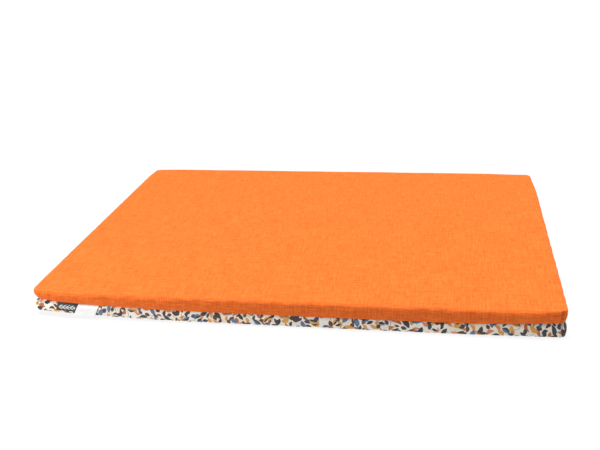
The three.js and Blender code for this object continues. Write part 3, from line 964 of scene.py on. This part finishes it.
def zip_row(skin, name, node, side, thread):
    """The stitches that hold the tape to the cover, along one side of the slot."""
    height = SEAM_Z + side * STITCH_HEIGHT
    places = np.linspace(-STITCH_HALF_LENGTH, STITCH_HALF_LENGTH, 120)
    path = np.array([skin.hit((x, HALF[1] + RAY_START, height), (0, -1, 0)) for x in places])
    outs = np.tile((0.0, 1.0, 0.0), (len(path), 1))
    row = stitches(name, path, outs, 3.0 * MM, 2.35 * MM, 0.22 * MM)
    paint(row, thread, "pad")
    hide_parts(node)


def bar_tack(skin, name, node, x, thread):
    """A dense zigzag across the end of the slot."""
    low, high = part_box(node)
    heights = np.arange(low.z, high.z, 0.36 * MM)
    swing = np.where(np.arange(len(heights)) % 2, high.x - 0.2 * MM, low.x + 0.2 * MM)
    ends = [skin.hit((x, HALF[1] + RAY_START, z), (0, -1, 0))[1] for z in (low.z, high.z)]
    out = max(ends) + 0.12 * MM
    bowed = out + 0.12 * MM * np.cos(np.linspace(-1.4, 1.4, len(heights)))
    zigzag = np.column_stack([swing, bowed, heights])
    outs = np.tile((0.0, 1.0, 0.0), (len(heights), 1))
    spine = np.column_stack([np.full(len(heights), (low.x + high.x) / 2), bowed - 0.1 * MM, heights])
    thin, thick = np.full(len(heights), 0.19 * MM), np.full(len(heights), 0.3 * MM)
    tack = tubes(name, [(zigzag, outs, thin), (spine, outs, thick)])
    paint(tack, thread, "pad")
    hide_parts(node)


def set_material(obj, material):
    for slot in obj.material_slots:
        slot.material = material


def build_zip(skin, orange, cream):
    nylon, tape, metal = nylon_material(), tape_material(), metal_material()
    for label, side in (("upper", 1), ("lower", -1)):
        coil = tubes(f"zip_coil_spiral_{label}", [coil_run(side)], sides=6)
        paint(coil, nylon, "pad")
        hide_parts(f"zip_coil_{label}")
    zip_row(skin, "zip_stitching_upper", "zip_stitch_upper", 1, orange)
    zip_row(skin, "zip_stitching_lower", "zip_stitch_lower", -1, cream)
    bar_tack(skin, "bar_tack_zigzag_left", "bar_tack_left", -TACK_AT, orange)
    bar_tack(skin, "bar_tack_zigzag_right", "bar_tack_right", TACK_AT, orange)
    for node, obj in frame["nodes"].items():
        if node.startswith("zip_tape"):
            set_material(obj, tape)
        elif node.startswith(("zip_slider", "zip_pull", "zip_top_stop", "zip_bottom_stop")):
            set_material(obj, metal)
            add_modifier(obj, "BEVEL", width=0.13 * MM, segments=2, limit_method="ANGLE")


# ---------------------------------------------------------------- the labels

LABEL_THICKNESS = 0.35 * MM
IN_SEAM = 1.5 * MM  # how much of a label is sewn into the seam


def build_label(skin, name, node, drop, lean, standoff, curl, material):
    """A ribbon sewn into the front seam, hanging drop deep over the printed flap. lean slants its ends. It
    stays standoff clear of the cloth, and curls out by curl at its foot."""
    low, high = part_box(node)
    right = high.x
    width = right - low.x - lean * (SEAM_Z - low.z)
    stations = np.linspace(0, 1, 15)
    fronts = top_grid.outline[: CELLS[0] + 1]
    seam = np.interp(right - width * stations, fronts[:, 0], rim["height"][: CELLS[0] + 1])
    drawn = np.interp(right - width * stations, fronts[:, 0], rim["drawn"][: CELLS[0] + 1])
    downs = np.concatenate([[-IN_SEAM, -0.6 * IN_SEAM, -0.2 * IN_SEAM], np.linspace(0.5 * MM, drop, 12)])
    points, corners = [], []
    reach = -HALF[1] + drawn
    for down in downs:
        x = right - width * stations - lean * max(down, 0)
        if down < 0:
            y = -HALF[1] + drawn - down * 0.8
            z = seam + 0 * x
        else:
            z = seam - down
            hits = [skin.hit((a, -HALF[1] - RAY_START, c), (0, 1, 0)) for a, c in zip(x, z)]
            flat = np.array([h[1] if h is not None else 1.0 for h in hits]) - standoff
            reach = np.minimum(reach, flat)
            ripple = 0.12 * MM * np.sin(stations * 5.1 + down / (3 * MM))
            y = reach - curl * (down / drop) ** 2 + ripple * (down / drop)
        points.append(np.column_stack([x, y, z]))
        corners.append(np.column_stack([width * (1 - stations), np.full(len(stations), down)]))
    n = np.arange(len(downs) * len(stations)).reshape(len(downs), -1)
    faces = np.stack([n[:-1, :-1], n[:-1, 1:], n[1:, 1:], n[1:, :-1]], -1).reshape(-1, 4)
    label = new_object(name, np.vstack(points), faces, np.vstack(corners)[faces].reshape(-1, 2))
    thicken(label, LABEL_THICKNESS, 0)
    subdivide(label)
    paint(label, material, "pad")
    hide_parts(node)
    flat = (round(width, 4), round(drop + IN_SEAM, 4))


skin = build_cover()
build_foam()
# The orange thread's colours are partly its own and partly painted shade: they are dark so that its rows up
# the corner seams stand in for the shadow in their grooves.
orange_thread = thread_material("orange_thread", (0.26, 0.03, 0.004, 1), (0.50, 0.085, 0.012, 1))
cream_thread = thread_material("cream_thread", (0.52, 0.46, 0.38, 1), (0.82, 0.76, 0.66, 1))
build_seam_stitching(orange_thread)
build_corner_stitching(skin, orange_thread, cream_thread)
build_zip(skin, orange_thread, cream_thread)
woven, satin = woven_label_material(), care_label_material()
build_label(skin, "woven_label_ribbon", "woven_label", 9 * MM, 0.12, 0.35 * MM, 0.2 * MM, woven)
build_label(skin, "care_label_ribbon", "care_label", 13.5 * MM, 0.5, 1.0 * MM, 0.5 * MM, satin)

# ---------------------------------------------------------------- stage, light and camera


def floor():
    """A white floor that shines a little, so that the pad casts hardly any shadow on it."""
    n = Nodes("floor_white")
    glow = {"Emission_Color": (1, 1, 1, 1), "Emission_Strength": 0.86}
    n.finish((0.1, 0.1, 0.1, 1), 0.9, Specular_IOR_Level=0.0, **glow)
    far, z = 12, -0.15 * MM
    corners = [(-far, -far, z), (far, -far, z), (far, far, z), (-far, far, z)]
    obj = new_object("floor", corners, [(0, 1, 2, 3)])
    obj.data.materials.append(n.material)


def sun(name, strength, direction, angle):
    light = bpy.data.lights.new(name, "SUN")
    light.energy = strength
    light.angle = math.radians(angle)
    obj = bpy.data.objects.new(name, light)
    obj.rotation_euler = Vector(direction).to_track_quat("-Z", "Y").to_euler()
    bpy.context.scene.collection.objects.link(obj)


def area(name, strength, place, target, size):
    light = bpy.data.lights.new(name, "AREA")
    light.energy = strength
    light.size = size
    obj = bpy.data.objects.new(name, light)
    obj.location = place
    obj.rotation_euler = (Vector(target) - Vector(place)).to_track_quat("-Z", "Y").to_euler()
    bpy.context.scene.collection.objects.link(obj)


def world():
    w = bpy.data.worlds.new("studio")
    w.use_nodes = True
    w.node_tree.nodes["Background"].inputs[0].default_value = (1, 1, 1, 1)
    w.node_tree.nodes["Background"].inputs[1].default_value = 0.06
    bpy.context.scene.world = w


def camera():
    """Stands in front of the pad and a little to the right of its middle, looking down."""
    yaw, pitch, roll = math.radians(-10.69), math.radians(22.01), math.radians(-2.62)
    ahead = Vector((math.sin(yaw) * math.cos(pitch), math.cos(yaw) * math.cos(pitch), -math.sin(pitch)))
    level = ahead.cross(Vector((0, 0, 1))).normalized()
    upright = level.cross(ahead)
    right = math.cos(roll) * level + math.sin(roll) * upright
    up = -math.sin(roll) * level + math.cos(roll) * upright
    data = bpy.data.cameras.new("camera")
    data.sensor_width = 36
    data.lens = 49.61
    obj = bpy.data.objects.new("camera", data)
    turn = Matrix((right, up, -ahead)).transposed().to_4x4()
    obj.matrix_world = Matrix.Translation((0.1700, -1.0090, 0.4448)) @ turn
    bpy.context.scene.collection.objects.link(obj)
    bpy.context.scene.camera = obj


floor()
world()
sun("key", 5.2, (0.1, -0.07, -1), 30)
area("left_fill", 2.4, (-0.62, -0.62, 0.2), (-0.28, -0.22, 0.02), 0.3)
area("right_fill", 2.5, (1.2, 0.1, 0.35), (0.3, 0, 0), 0.5)
camera()
bpy.context.scene.view_settings.view_transform = "Standard"
